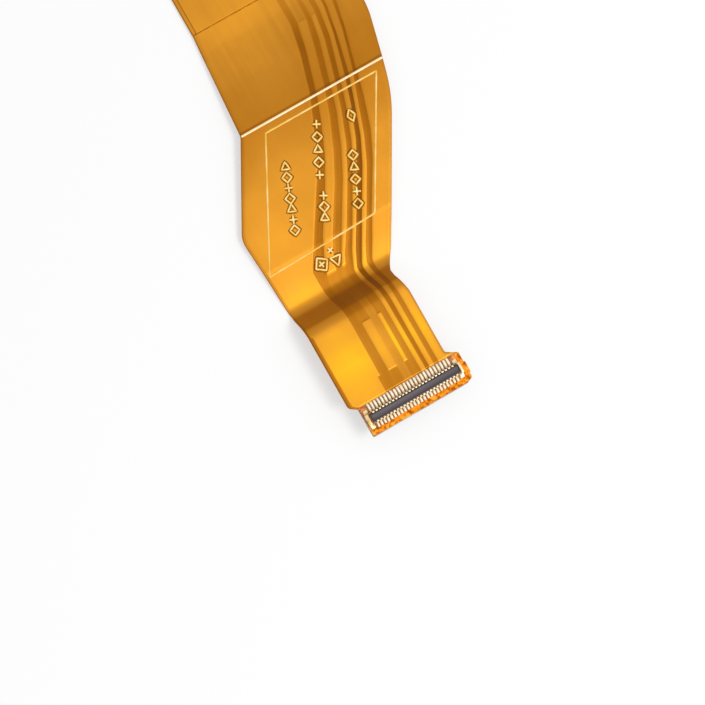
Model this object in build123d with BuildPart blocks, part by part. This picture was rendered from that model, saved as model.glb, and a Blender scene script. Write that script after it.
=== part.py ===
from build123d import *
import os
from math import atan2, cos, radians, sin, tan

# A pre-formed flexible circuit that joins two boards. It is a laminate of polyimide films and copper,
# die-cut to a slanted outline, with a fine-pitch connector soldered to a stiffened tab at each end.
# X runs along the connectors, Y from the near connector along the ribbon, and Z out of the mating faces.
# The origin is the middle of the near connector's mating face. Sizes are in millimetres.

# Contacts and the connector body
contact_pitch = 0.4
contacts_per_row = 25
contact_width = 0.2
contact_height = 0.66
leg_thickness = 0.18
tail_thickness = 0.09
tail_reach = 1.12
rib_width = 0.8
rib_height = 0.72
rib_end = 0.57
recess_depth = 0.06
recess_rim = 0.13
comb_width = 1.24
comb_height = 0.45

# Fitting nails at the ends of the connector
nail_thickness = 0.34
nail_height = 0.5
nail_width = 1.16
nail_chamfer = 0.07
foot_length = 0.46
foot_width = 0.44
foot_height = 0.12
foot_shift = 0.02
foot_joint = 0.24

# Lands that the contacts are soldered to, measured from the middle of the connector
land_width = 0.24
land_start = 0.7
back_land_end = 1.2

# Laminate, from the underside up
back_cover_thickness = 0.03
copper_thickness = 0.035
film_thickness = 0.05
cover_thickness = 0.03
cover_relief = 0.025
cover_flow = 0.05
emboss_height = 0.03
shield_thickness = 0.03
adhesive_thickness = 0.05
stiffener_thickness = 0.2

# Side line of the ribbon: a step down from the near tab, a foot, a field, a crease and a long flat run
step_height = 2.0
step_y = 11.73
step_slope = 45
step_radius = 2.0
foot_run = 5.1
foot_slope = 4.5
field_slope = 1.6
crease_y = 31.0
fall_slope = 3.4
fall_run = 9.0
flat_y = 53.0
ramp_run = 4.0

# Tab under each connector, measured from the connector's middle
tab_left = 5.8
tab_right = 6.28
tab_front = 1.53
tab_back = 1.7
tab_corner = 0.15
tab_chamfer_x = 0.7
tab_chamfer_y = 0.32
bump_height = 0.13
bump_width = 1.22
bump_y = -0.29
stiffener_lip = 0.08
stiffener_front = 2.1
stiffener_corner = 0.12

# Opening in the front coverlay round each connector
window_margin = 0.1
window_front = 1.5
window_back = 1.22

# Outline of the ribbon
neck_left = 6.72
neck_right = 5.02
neck_y = 2.0
neck_radius = 0.5
step_taper = 0.12
body_left_x = -7.3
body_left_y = 21.85
body_left_radius = 2.5
crease_left_x = -2.1
crease_left_radius = 1.0
ribbon_left = -1.1
ribbon_left_y = 42.0
waist_depth = 0.42
waist_length = 2.67
slant_start_x = 4.7
slant_start_y = 12.0
knee_run = 1.4
knee_rise = 1.8
slant_end_x = 14.1
slant_end_y = 27.35
slant_end_radius = 16
ribbon_right = 16.5
ribbon_right_y = 36.2
ribbon_right_radius = 9
shoulder_y = 80.0
shoulder_radius = 3.0
far_y = 92.0

# Copper on the front of the base film. A lane's places are its distances from the right edge of the
# ribbon at seven stations: the near end, two at the foot of the step, the field, the crease, above it
# and the top. A lane with no place at the near end stops short of the step.
copper_margin = 0.35
pour_margin = 0.5
pour_margin_y = 39.2
trace_width = 0.5
trace_1_width = 0.95
ground_lane = [7.07, 8.46, 9.57, 9.15, 8.83, 8.54, 8.05]
trace_1_lane = [None, 6.91, 7.4, 7.6, 7.48, 7.42, 6.85]
trace_2_lane = [None, 5.9, 5.87, 5.74, 6.03, 5.87, 5.4]
trace_3_lane = [2.88, 4.39, 4.57, 4.6, 4.85, 4.74, 4.3]
trace_4_lane = [1.85, 3.31, 3.37, 3.42, 3.78, 3.77, 3.35]
supply_lane = [1.05, 2.36, 2.37, 2.5, 3.08, 3.09, 2.55]
island_end_y = 38.2
pour_notch = 0.3
bar_1_x = -0.57
bar_1_width = 1.08
bar_2_x = 1.02
bar_2_width = 0.45
bar_start_y = 3.37
bar_length = 5.4

# Lines embossed in the front coverlay
line_width = 0.2
frame_top_y = 30.1
frame_bottom_y = 17.5
frame_top_left = 2.95
frame_top_right = 1.05
frame_bottom_left = 0.4
frame_bottom_right = 2.1
frame_corner = 0.4

# Shield film over the upper part of the ground pour
shield_y = 42.35
shield_width = 8.9
shield_margin = 0.4

# Heights in the stack, above the underside of the laminate
film_bottom = back_cover_thickness + copper_thickness
film_top = film_bottom + film_thickness
copper_top = film_top + copper_thickness
cover_top = copper_top + cover_thickness
gap_top = cover_top - cover_relief
emboss_top = cover_top + emboss_height
shield_top = cover_top + shield_thickness

# Places that follow from the sizes above
row_half = (contacts_per_row - 1) * contact_pitch / 2
rib_half = row_half + rib_end
mating_height = rib_height - recess_depth
near_z = -mating_height - copper_top
low_z = near_z - step_height
far_z = low_z + stiffener_thickness + adhesive_thickness
far_x = ribbon_right - neck_left
far_neck = far_x - neck_right
knee_x = slant_start_x + knee_run
knee_y = slant_start_y + knee_rise
waist_y = slant_start_y - waist_length / 4
straight_end_y = slant_start_y - waist_length
step_run = step_height / tan(radians(step_slope))
step_start_y = step_y - step_run / 2
step_end_y = step_y + step_run / 2
beyond = 2 * (neck_left + ribbon_right)
tall = 4 * (step_height + stiffener_thickness)
under = low_z - step_height


def side_corners():
    """Corners of the ribbon's underside as (y, z)."""
    field_y = step_end_y + foot_run
    field_z = low_z + foot_run * tan(radians(foot_slope))
    crease_z = field_z + (crease_y - field_y) * tan(radians(field_slope))
    fall_z = crease_z - fall_run * tan(radians(fall_slope))
    ramp_y = shoulder_y - ramp_run
    return [
        (-beyond, near_z),
        (step_start_y, near_z),
        (step_end_y, low_z),
        (field_y, field_z),
        (crease_y, crease_z),
        (crease_y + fall_run, fall_z),
        (flat_y, low_z),
        (ramp_y, low_z),
        (shoulder_y, far_z),
        (far_y + beyond, far_z),
    ]


def side_line(height):
    """The corners of a line at a height above the underside, and the bend radius at each inner one."""
    corners = side_corners()
    headings = [
        atan2(z2 - z1, y2 - y1) for (y1, z1), (y2, z2) in zip(corners[:-1], corners[1:])
    ]
    before = headings[:1] + headings
    after = headings + headings[-1:]
    raised = []
    for (y, z), first, second in zip(corners, before, after):
        middle = (first + second) / 2
        stretch = height / cos((second - first) / 2)
        raised.append((y - stretch * sin(middle), z + stretch * cos(middle)))
    bends = [step_radius + height, step_radius - height]
    sharp = [0] * (len(corners[1:-1]) - len(bends))
    return raised, bends + sharp


def sheet(low, high):
    """A bent sheet between two heights above the underside, wider and longer than the ribbon."""
    lower, lower_radii = side_line(low)
    upper, upper_radii = side_line(high)
    with BuildPart() as bent:
        with BuildSketch(Plane.YZ):
            with BuildLine():
                FilletPolyline(*lower, radius=lower_radii)
                FilletPolyline(*upper, radius=upper_radii)
                Line(lower[0], upper[0])
                Line(lower[-1], upper[-1])
            make_face()
        extrude(amount=beyond, both=True)
    return bent.part


def die_cut(low, high, plan):
    """The stretch of a bent sheet that lies inside an outline drawn in plan."""
    with BuildPart() as cut:
        add(sheet(low, high))
        with BuildSketch(Plane.XY.offset(under)):
            add(plan)
        extrude(amount=tall, mode=Mode.INTERSECT)
    return cut.part


def between(y, points):
    """The x at a y on a line through points given from the near end up."""
    for (x1, y1), (x2, y2) in zip(points[:-1], points[1:]):
        if y <= y2:
            return x1 + (x2 - x1) * (y - y1) / (y2 - y1)
    return points[-1][0]


def right_edge(y):
    """The x of the ribbon's right edge, with its corners left sharp."""
    slant = [
        (slant_start_x, slant_start_y),
        (knee_x, knee_y),
        (slant_end_x, slant_end_y),
        (ribbon_right, ribbon_right_y),
    ]
    return neck_right if y < slant_start_y else between(y, slant)


def left_edge(y):
    """The x of the ribbon's left edge above the step, with its corners left sharp."""
    corners = [
        (step_taper - neck_left, step_end_y),
        (body_left_x, body_left_y),
        (crease_left_x, crease_y),
        (ribbon_left, ribbon_left_y),
    ]
    return between(y, corners)


def lane_points(lane):
    """Points in plan along a lane, from its distances to the right edge."""
    stations = [
        knee_y + 0.1,
        knee_y + 1.9,
        slant_end_y - 3.5,
        crease_y - 0.4,
        crease_y + 3.5,
        ribbon_right_y + 2.3,
    ]
    points = [(right_edge(y) - distance, y) for y, distance in zip(stations, lane[1:])]
    if lane[0] is None:
        return points[:-1] + [(points[-1][0], island_end_y)]
    near_x = neck_right - lane[0]
    near = [(near_x, window_front), (near_x, (straight_end_y + slant_start_y) / 2)]
    return near + points + [(points[-1][0], far_y - window_front)]


def trace_plan(lane, width):
    """A strip of copper in plan, with its middle on a lane."""
    with BuildSketch() as strip:
        with BuildLine() as middle:
            Polyline(*lane_points(lane))
        trace(middle.line, width)
    return strip.sketch


def pour_plan(lane, outer_points):
    """A wide area of copper in plan: one side is a lane, the other follows the ribbon's outline."""
    with BuildSketch() as pour:
        with BuildLine():
            Polyline(*lane_points(lane), *outer_points, close=True)
        make_face()
        add(copper_limit.sketch, mode=Mode.INTERSECT)
    return pour.sketch


# Plan of the tab, in the connector's own frame
with BuildSketch() as tab_plan:
    with BuildLine():
        Polyline(
            (-tab_left, tab_front),
            (-tab_left, -tab_back + tab_corner),
            (-tab_left + 2 * tab_corner, -tab_back),
            (tab_right - tab_chamfer_x, -tab_back),
            (tab_right, -tab_back + tab_chamfer_y),
            (tab_right, tab_front - tab_corner),
            (tab_right - tab_corner, tab_front),
            close=True,
        )
    make_face()
    with Locations((tab_right, bump_y)):
        Rectangle(2 * bump_height, bump_width)

# The stiffener is cut a little larger than the tab, so that its edge shows
with BuildSketch() as stiffener_plan:
    with BuildLine():
        Polyline(
            (-tab_left, stiffener_front - tab_chamfer_x),
            (-tab_left, -tab_back - stiffener_lip),
            (tab_right - tab_chamfer_x, -tab_back - stiffener_lip),
            (tab_right, -tab_back + tab_chamfer_y - stiffener_lip),
            (tab_right, stiffener_front - tab_chamfer_x),
            (neck_right + stiffener_lip, stiffener_front),
            (-neck_right, stiffener_front),
            close=True,
        )
    make_face()
    chamfer(stiffener_plan.vertices().group_by(Axis.Y)[0], stiffener_corner)

with BuildSketch() as adhesive_plan:
    offset(stiffener_plan.sketch, amount=-stiffener_lip, kind=Kind.INTERSECTION)

window_half = rib_half + nail_thickness + window_margin / 2
with BuildSketch() as window_plan:
    with Locations((0, (window_front - window_back) / 2)):
        Rectangle(2 * window_half, window_front + window_back)

# Each end of the laminate is the same in its own frame, and the far one is turned half round
ends_in_plan = (Location((0, 0, 0)), Location((far_x, far_y, 0), (0, 0, 180)))

# Plan of the whole ribbon, up its left side and down its right, with a tab at each end
left_side = [
    ((-tab_left, tab_front - tab_corner), 0),
    ((-neck_left, neck_y), neck_radius),
    ((-neck_left, step_start_y), 0),
    ((step_taper - neck_left, step_end_y), 0),
    ((body_left_x, body_left_y), body_left_radius),
    ((crease_left_x, crease_y), crease_left_radius),
    ((ribbon_left, ribbon_left_y), 0),
    ((ribbon_left, shoulder_y), shoulder_radius),
    ((far_neck, shoulder_y + far_neck - ribbon_left), shoulder_radius),
    ((far_neck, far_y - neck_y), neck_radius),
    ((far_x - tab_right + tab_corner, far_y - tab_front), 0),
]
right_side = [
    ((far_x + tab_left, far_y - tab_front + tab_corner), 0),
    ((ribbon_right, far_y - neck_y), neck_radius),
    ((ribbon_right, ribbon_right_y), ribbon_right_radius),
    ((slant_end_x, slant_end_y), slant_end_radius),
    ((knee_x, knee_y), 0),
    ((slant_start_x, slant_start_y), 0),
    ((neck_right - waist_depth, waist_y), 0),
    ((neck_right, straight_end_y), 0),
    ((neck_right, neck_y), neck_radius),
    ((tab_right - tab_corner, tab_front), 0),
]
with BuildSketch() as ribbon_plan:
    with BuildLine():
        corners = left_side + right_side
        FilletPolyline(
            *[point for point, radius in corners],
            radius=[radius for point, radius in corners],
            close=True,
        )
    make_face()
    with Locations(*ends_in_plan):
        add(tab_plan.sketch)

# No copper comes nearer to the outline than this, on either side of the base film
with BuildSketch() as copper_limit:
    offset(ribbon_plan.sketch, amount=-copper_margin)

# Front copper: two pours, four traces and two bars
ground_plan = pour_plan(
    ground_lane,
    [
        (far_neck + pour_margin, far_y - window_front),
        (far_neck + pour_margin, shoulder_y + far_neck - ribbon_left),
        (ribbon_left + pour_margin, shoulder_y),
        (ribbon_left + pour_margin, pour_margin_y),
        (ribbon_left - pour_margin, pour_margin_y),
        (body_left_x, crease_y),
        (body_left_x, step_end_y),
        (pour_margin - neck_left, step_y),
        (pour_margin - neck_left, window_front),
    ],
)
with BuildSketch() as notched_ground_plan:
    add(ground_plan)
    with Locations((neck_right - ground_lane[0], window_front)):
        Rectangle(
            pour_notch,
            bar_start_y - window_front,
            align=(Align.MAX, Align.MIN),
            mode=Mode.SUBTRACT,
        )
supply_plan = pour_plan(
    supply_lane,
    [(ribbon_right, far_y - window_front), (ribbon_right, window_front)],
)
with BuildSketch() as bar_1_plan:
    with Locations((bar_1_x, bar_start_y + bar_length / 2)):
        Rectangle(bar_1_width, bar_length)
with BuildSketch() as bar_2_plan:
    with Locations((bar_2_x, bar_start_y + bar_length / 2)):
        Rectangle(bar_2_width, bar_length)

front_copper = {
    "ground_pour": notched_ground_plan.sketch,
    "supply_pour": supply_plan,
    "trace_1": trace_plan(trace_1_lane, trace_1_width),
    "trace_2": trace_plan(trace_2_lane, trace_width),
    "trace_3": trace_plan(trace_3_lane, trace_width),
    "trace_4": trace_plan(trace_4_lane, trace_width),
    "bar_1": bar_1_plan.sketch,
    "bar_2": bar_2_plan.sketch,
}
copper_pieces = {}
for name, plan in front_copper.items():
    with BuildPart() as copper:
        add(die_cut(film_top, copper_top, plan))
    copper_pieces[name] = copper.part

# Films of the laminate, and the copper on the back of the base film
with BuildPart() as base_film:
    add(die_cut(film_bottom, film_top, ribbon_plan.sketch))

with BuildSketch() as back_plan:
    add(copper_limit.sketch)
    with Locations((0, far_y / 2)):
        Rectangle(2 * beyond, far_y - 2 * window_front, mode=Mode.INTERSECT)
with BuildPart() as ground_plane:
    add(die_cut(back_cover_thickness, film_bottom, back_plan.sketch))

with BuildPart() as back_coverlay:
    add(die_cut(0, film_bottom, ribbon_plan.sketch))
    add(ground_plane.part, mode=Mode.SUBTRACT)

# The front coverlay stands higher over copper than over the gaps between it
with BuildSketch() as cover_plan:
    add(ribbon_plan.sketch)
    with Locations(*ends_in_plan):
        add(window_plan.sketch, mode=Mode.SUBTRACT)
with BuildSketch() as raised_plan:
    for plan in front_copper.values():
        offset(plan, amount=cover_flow, kind=Kind.INTERSECTION)
    add(cover_plan.sketch, mode=Mode.INTERSECT)

with BuildSketch() as frame_area:
    with BuildLine():
        FilletPolyline(
            (left_edge(frame_bottom_y) + frame_bottom_left, frame_bottom_y),
            (right_edge(frame_bottom_y) - frame_bottom_right, frame_bottom_y),
            (right_edge(frame_top_y) - frame_top_right, frame_top_y),
            (left_edge(frame_top_y) + frame_top_left, frame_top_y),
            radius=[0, frame_corner, 0, 0],
            close=True,
        )
    make_face()
with BuildSketch() as emboss_plan:
    offset(frame_area.sketch, amount=line_width / 2, kind=Kind.INTERSECTION)
    offset(
        frame_area.sketch, amount=-line_width / 2, kind=Kind.INTERSECTION, mode=Mode.SUBTRACT
    )
    with Locations((0, crease_y)):
        Rectangle(beyond, line_width)
    add(ribbon_plan.sketch, mode=Mode.INTERSECT)

with BuildPart() as front_coverlay:
    add(die_cut(film_top, gap_top, cover_plan.sketch))
    add(die_cut(film_top, cover_top, raised_plan.sketch))
    add(die_cut(film_top, emboss_top, emboss_plan.sketch))
    for copper in copper_pieces.values():
        add(copper, mode=Mode.SUBTRACT)

with BuildSketch() as shield_plan:
    shield_length = shoulder_y - shield_margin - shield_y
    with Locations(
        (ribbon_left + shield_margin + shield_width / 2, shield_y + shield_length / 2)
    ):
        Rectangle(shield_width, shield_length)
with BuildPart() as shield_film:
    add(die_cut(cover_top, shield_top, shield_plan.sketch))

# Connector, standing on its lands at z = 0 in its own frame
leg_inner = rib_width / 2
leg_outer = leg_inner + leg_thickness
with BuildPart() as contact:
    with BuildSketch(Plane.YZ.offset(-contact_width / 2)):
        with BuildLine():
            Polyline(
                (leg_inner, 0),
                (leg_inner, contact_height),
                (leg_outer, contact_height),
                (leg_outer, tail_thickness),
                (tail_reach, tail_thickness),
                (tail_reach, 0),
                close=True,
            )
        make_face()
    extrude(amount=contact_width)

with BuildPart() as front_contacts:
    with GridLocations(contact_pitch, 1, contacts_per_row, 1):
        add(contact.part)

with BuildPart() as back_contacts:
    with GridLocations(contact_pitch, 1, contacts_per_row, 1):
        add(contact.part, rotation=(0, 0, 180))

comb_depth = (comb_width - rib_width) / 2
with BuildPart() as housing:
    with BuildSketch():
        Rectangle(2 * rib_half, comb_width)
    extrude(amount=comb_height)
    with BuildSketch():
        Rectangle(2 * rib_half, rib_width)
    extrude(amount=rib_height)
    with BuildSketch(Plane.XY.offset(rib_height)):
        Rectangle(2 * (rib_half - recess_rim), rib_width - 2 * recess_rim)
    extrude(amount=-recess_depth, mode=Mode.SUBTRACT)
    with BuildSketch():
        with GridLocations(contact_pitch, rib_width + comb_depth, contacts_per_row, 2):
            Rectangle(contact_width, comb_depth)
    extrude(amount=comb_height, mode=Mode.SUBTRACT)

with BuildPart() as right_nail:
    with BuildSketch():
        with Locations((rib_half + nail_thickness / 2, 0)):
            Rectangle(nail_thickness, nail_width)
    extrude(amount=nail_height)
    chamfer(right_nail.edges().group_by(Axis.Z)[-1], nail_chamfer)
    with BuildSketch():
        with Locations((rib_half + foot_shift, 0)):
            with GridLocations(1, nail_width + foot_width, 1, 2):
                Rectangle(foot_length, foot_width)
        with Locations((rib_half + nail_thickness / 2, 0)):
            with GridLocations(1, nail_width, 1, 2):
                Rectangle(foot_joint, foot_width)
    extrude(amount=foot_height)

with BuildPart() as left_nail:
    mirror(right_nail.part, about=Plane.YZ)

with BuildPart() as contact_lands:
    with BuildSketch():
        with Locations((0, (land_start + window_front) / 2)):
            with GridLocations(contact_pitch, 1, contacts_per_row, 1):
                Rectangle(land_width, window_front - land_start)
        with Locations((0, -(land_start + back_land_end) / 2)):
            with GridLocations(contact_pitch, 1, contacts_per_row, 1):
                Rectangle(land_width, back_land_end - land_start)
    extrude(amount=-copper_thickness)

with BuildPart() as nail_lands:
    with BuildSketch():
        with GridLocations(2 * (rib_half + foot_shift), nail_width + foot_width, 2, 2):
            Rectangle(foot_length, foot_width)
    extrude(amount=-copper_thickness)

with BuildPart() as adhesive:
    with BuildSketch(Plane.XY.offset(-copper_top)):
        add(adhesive_plan.sketch)
    extrude(amount=-adhesive_thickness)

with BuildPart() as stiffener:
    with BuildSketch(Plane.XY.offset(-copper_top - adhesive_thickness)):
        add(stiffener_plan.sketch)
    extrude(amount=-stiffener_thickness)

# Every finished piece under its name: the laminate's own, then a set for each connector
pieces = {
    "base_film": base_film.part,
    "ground_plane": ground_plane.part,
    "back_coverlay": back_coverlay.part,
    "front_coverlay": front_coverlay.part,
    "shield_film": shield_film.part,
    **copper_pieces,
}
end_pieces = {
    "housing": housing.part,
    "front_contacts": front_contacts.part,
    "back_contacts": back_contacts.part,
    "left_nail": left_nail.part,
    "right_nail": right_nail.part,
    "contact_lands": contact_lands.part,
    "nail_lands": nail_lands.part,
    "stiffener_adhesive": adhesive.part,
    "stiffener": stiffener.part,
}
ends = {
    "near": Location((0, 0, near_z + copper_top)),
    "far": Location((far_x, far_y, far_z + copper_top), (0, 0, 180)),
}
for end, seat in ends.items():
    for name, shape in end_pieces.items():
        with BuildPart() as placed:
            with Locations(seat):
                add(shape)
        pieces[f"{end}_{name}"] = placed.part

os.makedirs("parts", exist_ok=True)
for name, piece in pieces.items():
    piece.label = name
    export_step(piece, f"parts/{name}.step")
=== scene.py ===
# %% [markdown]
# A pre-formed flexible circuit, dressed for a picture.
#
# The real thing is a sandwich of amber polyimide films with etched copper between them. It is cut to a
# slanted outline, pressed into a step and a crease, and carries a tiny connector at each end. The solid
# model gives every piece its place, and this notebook gives the pieces their finer form and their finish.

# %% Load the solid model
from math import atan2, copysign, cos, pi, radians, sin, tan

import bmesh
import bpy
import numpy as np
from mathutils import Matrix, Vector, noise


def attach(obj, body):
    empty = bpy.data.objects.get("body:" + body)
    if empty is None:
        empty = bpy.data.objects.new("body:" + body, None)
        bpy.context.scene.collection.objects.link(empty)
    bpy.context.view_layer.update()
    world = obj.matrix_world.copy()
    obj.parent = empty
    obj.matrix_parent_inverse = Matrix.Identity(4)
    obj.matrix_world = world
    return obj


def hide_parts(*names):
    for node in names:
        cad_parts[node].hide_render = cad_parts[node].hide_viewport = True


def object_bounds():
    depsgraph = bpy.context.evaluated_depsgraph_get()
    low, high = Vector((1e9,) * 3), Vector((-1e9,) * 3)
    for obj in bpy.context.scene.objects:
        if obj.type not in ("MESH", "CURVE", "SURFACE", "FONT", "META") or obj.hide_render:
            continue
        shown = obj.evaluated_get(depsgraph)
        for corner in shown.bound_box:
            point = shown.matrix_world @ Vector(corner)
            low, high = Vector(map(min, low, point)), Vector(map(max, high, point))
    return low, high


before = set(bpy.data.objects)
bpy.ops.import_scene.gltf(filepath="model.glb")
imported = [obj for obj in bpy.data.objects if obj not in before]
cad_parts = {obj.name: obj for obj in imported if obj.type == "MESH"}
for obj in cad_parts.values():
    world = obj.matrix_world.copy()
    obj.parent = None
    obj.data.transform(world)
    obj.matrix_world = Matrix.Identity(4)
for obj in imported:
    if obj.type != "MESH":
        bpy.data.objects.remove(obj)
cad_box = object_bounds()
MM = 0.001
print("pieces in the solid model:", len(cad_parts))

# %% [markdown]
# Colours are written as the hex values that a paint program shows, and one function turns them into the
# linear numbers that the renderer works with. Another adds a node to a tree, with its settings and its
# links, so that each material below reads as a short list of what feeds what.

# %% Helpers for node trees


def linear(hex_colour):
    """An sRGB hex colour as linear RGBA."""
    channels = [int(hex_colour[i : i + 2], 16) / 255 for i in (0, 2, 4)]
    return [c / 12.92 if c < 0.04045 else ((c + 0.055) / 1.055) ** 2.4 for c in channels] + [1.0]


def add_node(tree, kind, links=None, values=None, **settings):
    """Adds a node. Links and values go to its sockets, and a link from a node means its first output."""
    node = tree.nodes.new(kind)
    for name, value in settings.items():
        setattr(node, name, value)
    for socket, value in (values or {}).items():
        node.inputs[socket].default_value = value
    for socket, source in (links or {}).items():
        source = source.outputs[0] if isinstance(source, bpy.types.Node) else source
        tree.links.new(source, node.inputs[socket])
    return node


def new_material(name):
    """An empty node material, with its output node."""
    material = bpy.data.materials.new(name)
    material.use_nodes = True
    material.node_tree.nodes.clear()
    output = add_node(material.node_tree, "ShaderNodeOutputMaterial")
    return material, material.node_tree, output


def set_stops(ramp, stops):
    """Gives a colour ramp its stops, from pairs of a place and a hex colour."""
    elements = ramp.color_ramp.elements
    while len(elements) < len(stops):
        elements.new(1.0)
    for element, (place, colour) in zip(elements, stops):
        element.position = place
        element.color = linear(colour)


def coat(tree, output, colour, gloss, relief, strength, depth, values):
    """Joins colour, roughness and a relief that is some mm deep into one surface."""
    bump = add_node(
        tree,
        "ShaderNodeBump",
        links={"Height": relief},
        values={"Strength": strength, "Distance": depth * MM},
    )
    links = {"Base Color": colour, "Roughness": gloss, "Normal": bump}
    surface = add_node(tree, "ShaderNodeBsdfPrincipled", links=links, values=values)
    tree.links.new(surface.outputs[0], output.inputs["Surface"])


# %% [markdown]
# The camera stands a metre away behind a long lens, because the photograph shows no perspective. It looks
# down at the part, leaning to the part's left, and is rolled so that the ribbon runs up and to the left.

# %% Camera
LEAN = radians(17.225)
TIP = radians(1.2)
ROLL = radians(29.53)
DISTANCE = 1000.0
PIXELS_PER_MM = 9.966
IMAGE = 705
ORIGIN_PIXEL = (415.46, 393.29)

scene = bpy.context.scene
to_view = Matrix.Rotation(ROLL, 3, "Z") @ Matrix.Rotation(TIP, 3, "X") @ Matrix.Rotation(LEAN, 3, "Y")
aside = (IMAGE / 2 - ORIGIN_PIXEL[0]) / PIXELS_PER_MM
up = (ORIGIN_PIXEL[1] - IMAGE / 2) / PIXELS_PER_MM
from_view = to_view.transposed()
camera = bpy.data.objects.new("camera", bpy.data.cameras.new("camera"))
camera.matrix_world = (
    Matrix.Translation(from_view @ Vector((aside, up, DISTANCE)) * MM) @ from_view.to_4x4()
)
camera.data.sensor_width = 36
camera.data.lens = 36 * DISTANCE * PIXELS_PER_MM / IMAGE
camera.data.clip_start = 0.1
camera.data.clip_end = 10
scene.collection.objects.link(camera)
scene.camera = camera
print("lens in mm:", round(camera.data.lens, 1))

# %% [markdown]
# The light is a small product-photo setup: an even white surround that fills every shadow, and one large
# softbox high on the connector's side. It stands to one side of straight above, which tells the slopes of
# the ribbon apart: the foot of the step faces it and glows, and the wall of the step turns away from it.

# %% Lights and floor
FLOOR_Z = cad_box[0][2]
FLOOR_REACH = 2.0
SURROUND = 0.62
FLOOR_GLOW = 0.55
KEY_PLACE = (150, -190, 400)
KEY_TARGET = (0, 20, 0)
KEY_SIZE = (260, 200)
KEY_WATTS = 1.15

world = bpy.data.worlds.new("studio")
scene.world = world
world.use_nodes = True
tree = world.node_tree
tree.nodes.clear()
white = linear("ffffff")
surround = add_node(tree, "ShaderNodeBackground", values={"Color": white, "Strength": SURROUND})
backdrop = add_node(tree, "ShaderNodeBackground", values={"Color": white, "Strength": 1.0})
rays = add_node(tree, "ShaderNodeLightPath")
seen = add_node(
    tree, "ShaderNodeMixShader", links={0: rays.outputs["Is Camera Ray"], 1: surround, 2: backdrop}
)
add_node(tree, "ShaderNodeOutputWorld", links={"Surface": seen})

lamp = bpy.data.lights.new("key_softbox", "AREA")
lamp.shape = "RECTANGLE"
lamp.size = KEY_SIZE[0] * MM
lamp.size_y = KEY_SIZE[1] * MM
lamp.energy = KEY_WATTS
box = bpy.data.objects.new("key_softbox", lamp)
toward = Vector(KEY_TARGET) - Vector(KEY_PLACE)
turned = toward.to_track_quat("-Z", "Y").to_matrix().to_4x4()
box.matrix_world = Matrix.Translation(Vector(KEY_PLACE) * MM) @ turned
scene.collection.objects.link(box)

floor_mesh = bpy.data.meshes.new("floor")
floor_corners = [(x * FLOOR_REACH, y * FLOOR_REACH, FLOOR_Z) for x, y in ((-1, -1), (1, -1), (1, 1), (-1, 1))]
floor_mesh.from_pydata(floor_corners, [], [(0, 1, 2, 3)])
floor = bpy.data.objects.new("floor", floor_mesh)
scene.collection.objects.link(floor)

board, tree, output = new_material("matt_white_board")
paint = add_node(
    tree, "ShaderNodeBsdfPrincipled", values={"Roughness": 0.9, "Base Color": linear("fbfbfb")}
)
glow = add_node(tree, "ShaderNodeEmission", values={"Color": white, "Strength": 1.0})
rays = add_node(tree, "ShaderNodeLightPath")
share = add_node(
    tree,
    "ShaderNodeMath",
    operation="MULTIPLY",
    links={0: rays.outputs["Is Camera Ray"]},
    values={1: FLOOR_GLOW},
)
lit = add_node(tree, "ShaderNodeMixShader", links={0: share, 1: paint, 2: glow})
tree.links.new(lit.outputs[0], output.inputs["Surface"])
floor_mesh.materials.append(board)
print("softbox distance in mm:", round(toward.length))

# %% [markdown]
# Everything on the ribbon follows two rules. Seen from the side, the laminate runs along a line with a
# step, a foot, a field, a crease and a long flat run. Seen from above, each edge and each lane of copper
# is a line in plan. So a point of the film is its place along the ribbon, its place across, and its
# height above the underside. The next cells make those lines, with the corners rounded by arcs.

# %% Side line of the ribbon
STEP_HEIGHT = 2.0
STEP_Y = 11.73
STEP_RADIUS = 2.0
FOOT_RUN = 5.1
CREASE_Y = 31.0
FALL_RUN = 9.0
FLAT_Y = 53.0
SHOULDER_Y = 80.0
RAMP_RUN = 4.0
FAR_X = 9.78
FAR_Y = 92.0
WINDOW_FRONT = 1.5
FILM_TOP = 0.115
COPPER_TOP = 0.15
GAP_TOP = 0.155
COVER_TOP = 0.18
NEAR_Z = -0.81
LOW_Z = NEAR_Z - STEP_HEIGHT
FAR_Z = LOW_Z + 0.25


def round_corners(corners, radii, steps=7):
    """Points of an open line whose inner corners are rounded by arcs."""
    points = [Vector(corners[0])]
    for before, corner, after, radius in zip(corners, corners[1:], corners[2:], radii):
        ahead = (Vector(corner) - Vector(before)).normalized()
        onward = (Vector(after) - Vector(corner)).normalized()
        turn = atan2(ahead.x * onward.y - ahead.y * onward.x, ahead.dot(onward))
        if radius == 0 or abs(turn) < 1e-6:
            points.append(Vector(corner))
            continue
        start = Vector(corner) - ahead * radius * tan(abs(turn) / 2)
        side = Vector((-ahead.y, ahead.x)) * (1 if turn > 0 else -1)
        for i in range(steps + 1):
            angle = abs(turn) * i / steps
            points.append(start + ahead * radius * sin(angle) + side * radius * (1 - cos(angle)))
    points.append(Vector(corners[-1]))
    return points


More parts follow.
